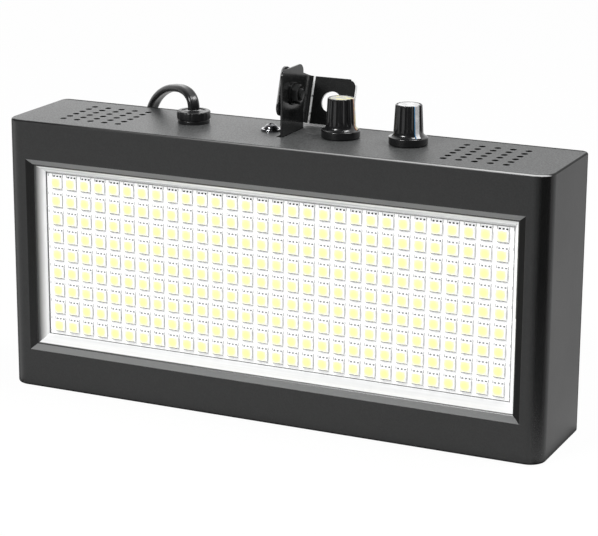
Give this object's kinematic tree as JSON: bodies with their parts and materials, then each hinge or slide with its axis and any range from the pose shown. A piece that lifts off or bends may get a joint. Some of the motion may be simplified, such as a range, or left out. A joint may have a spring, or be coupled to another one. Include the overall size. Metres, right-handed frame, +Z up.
{
  "type": "strobe light",
  "caption": "Small box-shaped LED strobe light with a bevelled front window, two control knobs, a tilting hanger arm and a flat mains cord on top.",
  "frame": {"origin": "middle of the housing's underside, where it stands", "axes": "+Z up, the lit front faces -Y, +X to the right as seen from the front"},
  "size_m": [0.245, 0.1247, 0.1475],
  "materials": {
    "housing_plastic": "fine-textured dark grey moulding",
    "cover_plastic": "matt black sheet",
    "reflector_white": "satin silver-white",
    "led_white": "white board with pale yellow phosphor windows",
    "screw_steel": "bright plated",
    "bracket_black": "glossy black coating on steel sheet",
    "knob_black": "satin black moulding",
    "knob_pale": "pale inlay",
    "pot_metal": "pressed steel can",
    "shaft_brass": "turned",
    "cord_black": "satin black flexible cord sheath",
    "board_green": "green lacquered board",
    "part_dark": "dark resin and sleeves",
    "fuse_glass": "glass tube",
    "core_ferrite": "grey ferrite",
    "winding_tape": "yellow tape over the winding",
    "sink_aluminium": "extruded",
    "lead_red": "red insulation",
    "lead_black": "black insulation",
    "lead_brown": "brown insulation",
    "lead_blue": "blue insulation"
  },
  "bodies": {
    "housing": {"housing_shell": "housing_plastic", "back_cover": "cover_plastic", "reflector_frame": "reflector_white", "led_board": "led_white", "back_screw_1": "screw_steel", "back_screw_2": "screw_steel", "back_screw_3": "screw_steel", "back_screw_4": "screw_steel", "board_screw_1": "screw_steel", "board_screw_2": "screw_steel", "board_screw_3": "screw_steel", "board_screw_4": "screw_steel", "driver_screw_1": "screw_steel", "driver_screw_2": "screw_steel", "driver_screw_3": "screw_steel", "driver_screw_4": "screw_steel", "hanger_screw": "screw_steel", "hanger_nut": "screw_steel", "speed_pot_washer": "screw_steel", "sound_pot_washer": "screw_steel", "speed_pot_nut": "screw_steel", "sound_pot_nut": "screw_steel", "hanger_foot": "bracket_black", "pivot_bolt": "bracket_black", "pivot_washer": "bracket_black", "pivot_nut": "bracket_black", "speed_pot_body": "pot_metal", "sound_pot_body": "pot_metal", "microphone": "pot_metal", "plug_pin_1": "shaft_brass", "plug_pin_2": "shaft_brass", "cord_bush": "cord_black", "mains_cord": "cord_black", "cord_coil": "cord_black", "cord_tail": "cord_black", "cord_tie": "cord_black", "plug_body": "cord_black", "driver_board": "board_green", "terminal_block": "board_green", "smoothing_capacitor": "part_dark", "timing_capacitor": "part_dark", "rectifier": "part_dark", "control_chip": "part_dark", "power_transistor": "part_dark", "fuse": "fuse_glass", "transformer_core": "core_ferrite", "transformer_winding": "winding_tape", "heat_sink": "sink_aluminium", "led_lead_plus": "lead_red", "led_lead_minus": "lead_black", "mains_lead_live": "lead_brown", "mains_lead_neutral": "lead_blue"},
    "speed_control": {"speed_pot_shaft": "shaft_brass", "speed_knob": "knob_black", "speed_knob_cap": "knob_pale"},
    "sound_control": {"sound_pot_shaft": "shaft_brass", "sound_knob": "knob_black", "sound_knob_cap": "knob_pale"},
    "hanger": {"hanger_arm": "bracket_black"}
  },
  "joints": [
    {"name": "speed_turn", "type": "hinge", "parent": "housing", "child": "speed_control", "pos_m": [0.0217, 0.0038, 0.1193], "axis": [0, 0, 1], "range_deg": [-69.7, 230.3]},
    {"name": "sound_turn", "type": "hinge", "parent": "housing", "child": "sound_control", "pos_m": [0.0518, 0.0038, 0.1193], "axis": [0, 0, 1], "range_deg": [-26.8, 273.2]},
    {"name": "hanger_tilt", "type": "hinge", "parent": "housing", "child": "hanger", "pos_m": [0, 0.0038, 0.1355], "axis": [1, 0, 0], "range_deg": [0, 210]}
  ]
}
